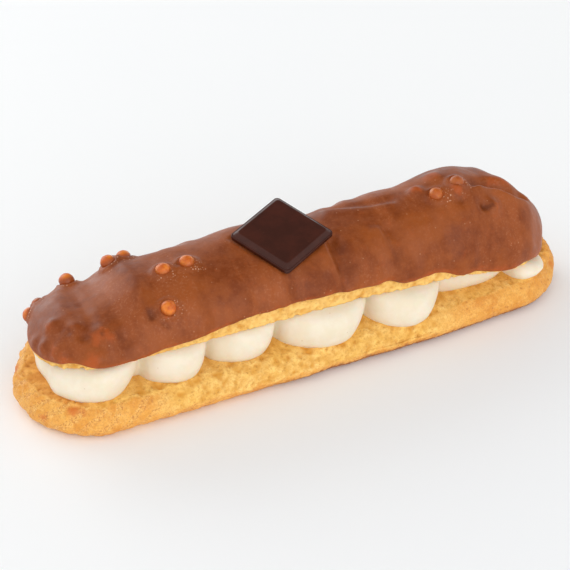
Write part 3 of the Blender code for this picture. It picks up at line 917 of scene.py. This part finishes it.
def make_pores():
    """Round holes of uneven width: Hollow is 1 in the middle of a hole."""
    group, mix, given, end = new_group("pores", "Hollow", "Scale", "Width", "Warp")
    drift = mix.add("ShaderNodeTexNoise", {"Vector": given["Vector"], "Scale": 900.0})
    off = mix.add("ShaderNodeVectorMath", {0: drift.outputs[1], 1: (0.5, 0.5, 0.5)}, operation="SUBTRACT")
    off = mix.add("ShaderNodeVectorMath", {0: off.outputs[0], "Scale": given["Warp"]}, operation="SCALE")
    vector = mix.add("ShaderNodeVectorMath", {0: given["Vector"], 1: off.outputs[0]}, operation="ADD")
    cells = mix.add("ShaderNodeTexVoronoi", {"Vector": vector.outputs[0], "Scale": given["Scale"]})
    apart = mix.add("ShaderNodeSeparateColor", {0: cells.outputs["Color"]})
    width = mix.times(given["Width"], mix.step(apart.outputs[0], 0.0, 1.0, 0.35, 1.0))
    near = mix.math("DIVIDE", cells.outputs["Distance"], width)
    hollow = mix.step(near, 1.0, 0.3)
    mix.tree.links.new(hollow, end.inputs["Hollow"])
    return group


def make_specks():
    """Sparse dots: Speck is 1 on a dot. Share is how many of the cells carry one."""
    group, mix, given, end = new_group("specks", "Speck", "Scale", "Width", "Share")
    cells = mix.add("ShaderNodeTexVoronoi", {"Vector": given["Vector"], "Scale": given["Scale"]})
    apart = mix.add("ShaderNodeSeparateColor", {0: cells.outputs["Color"]})
    chosen = mix.math("LESS_THAN", apart.outputs[1], given["Share"])
    near = mix.math("DIVIDE", cells.outputs["Distance"], given["Width"])
    dot = mix.times(chosen, mix.step(near, 1.0, 0.5))
    mix.tree.links.new(dot, end.inputs["Speck"])
    return group


def make_mottle():
    """Soft cloudy patches: Patch goes from 0 to 1."""
    group, mix, given, end = new_group("mottle", "Patch", "Scale", "Low", "High")
    clouds = mix.noise(given["Vector"], given["Scale"], 4.0, 0.6)
    patch = mix.step(clouds, given["Low"], given["High"])
    mix.tree.links.new(patch, end.inputs["Patch"])
    return group


PORES = make_pores()
SPECKS = make_specks()
MOTTLE = make_mottle()


def new_material(name, **values):
    """A material whose shader has the given plain values, and the mix that dresses it."""
    material = bpy.data.materials.new(name)
    material.use_nodes = True
    mix = Mix(material.node_tree)
    shader = material.node_tree.nodes["Principled BSDF"]
    for key, value in values.items():
        shader.inputs[key.replace("_", " ")].default_value = value
    place = mix.add("ShaderNodeTexCoord").outputs["Object"]

    def finish(**sockets):
        for key, socket in sockets.items():
            material.node_tree.links.new(socket, shader.inputs[key.replace("_", " ")])
        return material

    return mix, place, finish


def choux_finish():
    """Golden crust with folds and browned spots, and the sandy crumb where it is torn."""
    mix, place, finish = new_material("baked choux", Specular_IOR_Level=0.3)
    crumb = mix.mark("crumb")
    fold = mix.mark("fold")
    hollow = mix.mark("hollow")
    across = mix.add("ShaderNodeSeparateXYZ", {0: place}).outputs
    patches = mix.group(MOTTLE, place, Scale=110.0, Low=0.35, High=0.65)
    fine = mix.group(MOTTLE, place, Scale=700.0, Low=0.4, High=0.62)
    brown = mix.group(SPECKS, place, Scale=620.0, Width=0.26, Share=0.3)
    grit = mix.step(mix.noise(place, 2400.0, 3.0, 0.6), 0.48, 0.62)
    dust = mix.step(mix.noise(place, 1500.0, 3.0, 0.6), 0.5, 0.66)
    pores = mix.group(PORES, place, Scale=1100.0, Width=0.5, Warp=0.0005)
    valley = mix.step(fold, 0.55, 0.25)
    crust = mix.blend(patches, paint(238, 172, 76), paint(222, 146, 54))
    crust = mix.tint(crust, valley, 0.5, paint(236, 182, 98))
    blotches = mix.group(MOTTLE, place, Scale=280.0, Low=0.46, High=0.6)
    crust = mix.tint(crust, blotches, 0.5, paint(248, 192, 100))
    crust = mix.tint(crust, fine, 0.35, paint(226, 148, 62))
    dusty = mix.step(valley, 0.0, 1.0, 0.3, 0.7)
    gritty = mix.step(valley, 0.0, 1.0, 0.35, 0.8)
    crust = mix.tint(crust, dust, dusty, paint(250, 200, 118))
    crust = mix.tint(crust, grit, gritty, paint(196, 122, 58))
    crust = mix.tint(crust, brown, 0.55, paint(186, 108, 44))
    crust = mix.tint(crust, mix.mark("browned"), 0.75, paint(206, 104, 34))
    rim = mix.times(mix.step(across[0], -0.056, -0.066), crumb)
    torn = mix.blend(patches, paint(255, 212, 128), paint(250, 200, 106))
    # Painted shade: the crumb's hollows and holes are painted a darker gold
    torn = mix.blend(hollow, torn, paint(214, 148, 54))
    torn = mix.tint(torn, fine, 0.3, paint(234, 172, 72))
    # Painted shade in the crumb's small pores
    torn = mix.tint(torn, pores, 0.3, paint(204, 140, 60))
    torn = mix.tint(torn, rim, 0.5, paint(240, 162, 74))
    # Painted shade, a deeper brown, in the hollows of the baked rim at the left end
    torn = mix.tint(torn, mix.times(rim, hollow), 0.5, paint(186, 108, 46))
    torn = mix.tint(torn, grit, 0.45, paint(218, 152, 72))
    colour = mix.blend(crumb, crust, torn)
    # Painted shade: a dark brown band with a ragged top along the bottom edge of the right part, where
    # the eclair meets the floor
    ragged = mix.math("ADD", across[2], mix.times(fine, -0.0008))
    foot = mix.times(mix.step(ragged, 0.0022, 0.001), mix.step(across[0], -0.03, 0.0))
    colour = mix.tint(colour, foot, 0.85, paint(146, 80, 34))
    grain = mix.noise(place, 1500.0, 4.0, 0.65)
    dents = mix.times(pores, mix.step(crumb, 0.0, 1.0, -0.25, -0.6))
    height = mix.math("ADD", mix.times(grain, 0.5), dents)
    normal = mix.bump(height, 0.6, 0.0004)
    rough = mix.step(crumb, 0.0, 1.0, 0.55, 0.8)
    return finish(Base_Color=colour, Roughness=rough, Normal=normal)


def lid_finish():
    """Pale yellow holey crumb, with painted shade in its hollows and pores."""
    mix, place, finish = new_material("pale crumb", Specular_IOR_Level=0.25)
    hollow = mix.mark("hollow")
    fine = mix.group(MOTTLE, place, Scale=600.0, Low=0.38, High=0.62)
    pores = mix.group(PORES, place, Scale=1200.0, Width=0.5, Warp=0.0005)
    # Painted shade: the crumb's hollows and holes are painted a darker gold
    torn = mix.blend(hollow, paint(250, 205, 120), paint(216, 150, 62))
    torn = mix.tint(torn, fine, 0.35, paint(238, 182, 88))
    # Painted shade in the crumb's small pores
    torn = mix.tint(torn, pores, 0.25, paint(208, 148, 68))
    grain = mix.noise(place, 1800.0, 4.0, 0.6)
    height = mix.math("MULTIPLY_ADD", pores, -0.6, mix.times(grain, 0.5))
    normal = mix.bump(height, 0.6, 0.0004)
    rough = mix.step(fine, 0.0, 1.0, 0.7, 0.85)
    return finish(Base_Color=torn, Roughness=rough, Normal=normal)


def cream_finish():
    """Ivory cream, moist and smooth, with faint folds and fine vanilla specks."""
    mix, place, finish = new_material(
        "vanilla cream", Subsurface_Weight=0.25, Subsurface_Scale=0.002, Coat_Weight=0.08,
        Coat_Roughness=0.25, Specular_IOR_Level=0.35,
    )
    clouds = mix.group(MOTTLE, place, Scale=160.0, Low=0.35, High=0.65)
    dots = mix.group(SPECKS, place, Scale=700.0, Width=0.16, Share=0.1)
    colour = mix.blend(clouds, paint(237, 225, 203), paint(232, 218, 191))
    colour = mix.tint(colour, dots, 0.55, paint(196, 160, 110))
    folds = mix.noise(place, 350.0, 3.0, 0.5)
    normal = mix.bump(folds, 0.25, 0.0006)
    rough = mix.step(clouds, 0.0, 1.0, 0.38, 0.5)
    return finish(Base_Color=colour, Roughness=rough, Normal=normal)


def glaze_finish():
    """Satin milk chocolate, reddish where it is thin, with fine bubbles and a cloudy tone."""
    mix, place, finish = new_material(
        "milk chocolate glaze", Coat_Weight=0.04, Coat_Roughness=0.2, Specular_IOR_Level=0.16
    )
    thin = mix.mark("thin")
    fizz = mix.mark("fizz")
    clouds = mix.group(MOTTLE, place, Scale=85.0, Low=0.34, High=0.62)
    draped = mix.add("ShaderNodeMapping", {0: place, 3: (1.0, 0.3, 0.3)}).outputs[0]
    bands = mix.group(MOTTLE, draped, Scale=150.0, Low=0.42, High=0.66)
    fine = mix.group(MOTTLE, place, Scale=420.0, Low=0.4, High=0.62)
    pale = mix.group(SPECKS, place, Scale=620.0, Width=0.15, Share=0.22)
    bubbles = mix.group(SPECKS, place, Scale=1700.0, Width=0.4, Share=0.6)
    colour = mix.blend(clouds, paint(150, 76, 30), paint(122, 56, 20))
    colour = mix.tint(colour, bands, 0.5, paint(164, 86, 42))
    colour = mix.tint(colour, fine, 0.25, paint(156, 84, 44))
    colour = mix.tint(colour, pale, 0.35, paint(205, 150, 112))
    cloudy = mix.noise(place, 520.0, 4.0, 0.65)
    uneven = mix.math("MULTIPLY_ADD", cloudy, 1.8, mix.math("SUBTRACT", thin, 1.35))
    colour = mix.blend(mix.step(uneven, -0.45, 0.6, 0.0, 0.65), colour, paint(180, 84, 34))
    # Painted shade in the small hollows of the glaze
    colour = mix.tint(colour, mix.mark("hollow_shade"), 0.75, paint(84, 34, 12))
    froth = mix.times(mix.times(bubbles, fizz), mix.step(fine, 0.1, 0.7))
    colour = mix.tint(colour, froth, 0.8, paint(214, 164, 132))
    grain = mix.step(mix.noise(place, 1600.0, 3.0, 0.6), 0.5, 0.68)
    grain = mix.times(grain, mix.step(bands, 0.0, 1.0, 0.1, 0.3))
    colour = mix.blend(grain, colour, paint(180, 114, 78))
    ripple = mix.noise(place, 260.0, 3.0, 0.55)
    height = mix.math("ADD", ripple, mix.times(froth, 0.4))
    height = mix.math("ADD", height, mix.times(pale, 0.15))
    normal = mix.bump(height, 0.22, 0.0005)
    rough = mix.step(fine, 0.0, 1.0, 0.34, 0.44)
    return finish(Base_Color=colour, Roughness=rough, Normal=normal)


def pearl_finish():
    """Glossy caramel pearls, with painted shade that darkens each from its top down to its foot."""
    mix, place, finish = new_material(
        "caramel pearls", Subsurface_Weight=0.1, Subsurface_Scale=0.001, Coat_Weight=0.2,
        Coat_Roughness=0.12, Specular_IOR_Level=0.25,
    )
    lit_crown = mix.mark("lit_crown")
    blotches = mix.group(MOTTLE, place, Scale=500.0, Low=0.36, High=0.62)
    colour = mix.blend(blotches, paint(226, 126, 40), paint(196, 92, 24))
    # Painted shade: darker towards each pearl's foot
    colour = mix.blend(mix.step(lit_crown, 0.75, 0.1), colour, paint(156, 72, 22))
    colour = mix.blend(mix.mark("film"), colour, paint(150, 76, 32))
    bumps = mix.noise(place, 900.0, 3.0, 0.6)
    normal = mix.bump(bumps, 0.35, 0.0005)
    rough = mix.step(blotches, 0.0, 1.0, 0.28, 0.4)
    return finish(Base_Color=colour, Roughness=rough, Normal=normal)


def plaque_finish():
    """Dark chocolate with a soft moulded sheen and faint bloom."""
    mix, place, finish = new_material(
        "dark chocolate", Coat_Weight=0.3, Coat_Roughness=0.1, Specular_IOR_Level=0.1
    )
    clouds = mix.group(MOTTLE, place, Scale=180.0, Low=0.35, High=0.65)
    dust = mix.group(SPECKS, place, Scale=900.0, Width=0.14, Share=0.08)
    colour = mix.blend(clouds, paint(70, 31, 20), paint(58, 24, 13))
    colour = mix.tint(colour, dust, 0.3, paint(110, 72, 54))
    waves = mix.noise(place, 220.0, 2.0, 0.5)
    normal = mix.bump(waves, 0.12, 0.0004)
    rough = mix.step(clouds, 0.0, 1.0, 0.3, 0.4)
    return finish(Base_Color=colour, Roughness=rough, Normal=normal)


# Studio


def turn_to(obj, way):
    """Turns a camera or lamp so that it looks the given way, with its top up."""
    obj.rotation_mode = "QUATERNION"
    obj.rotation_quaternion = way.to_track_quat("-Z", "Y")


def add_camera():
    """The photograph's viewing angle."""
    away = cos(CAMERA_LIFT)
    back = Vector((sin(CAMERA_TURN) * away, -cos(CAMERA_TURN) * away, sin(CAMERA_LIFT)))
    camera = show("camera", bpy.data.cameras.new("camera"))
    camera.location = CAMERA_AIM + back * CAMERA_DISTANCE
    turn_to(camera, -back)
    camera.data.lens = CAMERA_LENS
    camera.data.clip_start = 0.01
    bpy.context.scene.camera = camera


def add_softbox(name, place, size, power):
    """A square lamp that faces the eclair."""
    lamp = show(name, bpy.data.lights.new(name, "AREA"))
    lamp.location = place
    turn_to(lamp, LAMP_AIM - lamp.location)
    lamp.data.size = size
    lamp.data.energy = power


def add_floor():
    """A plain pale floor."""
    bm = bmesh.new()
    bmesh.ops.create_grid(bm, x_segments=8, y_segments=8, size=FLOOR_HALF)
    mesh = bpy.data.meshes.new("floor")
    bm.to_mesh(mesh)
    bm.free()
    floor = show("floor", mesh)
    mix, place, finish = new_material("pale floor", Roughness=0.6)
    tone = mix.group(MOTTLE, place, Scale=2.0, Low=0.3, High=0.7)
    colour = mix.blend(tone, paint(252, 252, 251), paint(250, 250, 250))
    mesh.materials.append(finish(Base_Color=colour))


def add_light():
    """A pale sky with its dim patch, and two large soft lamps."""
    world = bpy.data.worlds.new("studio")
    bpy.context.scene.world = world
    world.use_nodes = True
    sky = world.node_tree.nodes["Background"]
    sky.inputs["Color"].default_value = SKY_COLOUR
    mix = Mix(world.node_tree)
    way = mix.add("ShaderNodeTexCoord").outputs["Generated"]
    near = mix.add("ShaderNodeVectorMath", {0: way, 1: DIM_PATCH_WAY}, operation="DOT_PRODUCT")
    strength = mix.step(near.outputs["Value"], *DIM_PATCH_REACH, *SKY_STRENGTHS)
    world.node_tree.links.new(strength, sky.inputs["Strength"])
    add_softbox("back light", *BACK_LIGHT)
    add_softbox("front fill", *FRONT_FILL)
    bpy.context.scene.view_settings.view_transform = "Standard"


def main():
    add_camera()
    add_floor()
    add_light()
    make_base(choux_finish())
    make_cream(cream_finish())
    make_lid(lid_finish())
    make_glaze(glaze_finish())
    make_pearls(pearl_finish())
    make_plaque(plaque_finish())


main()
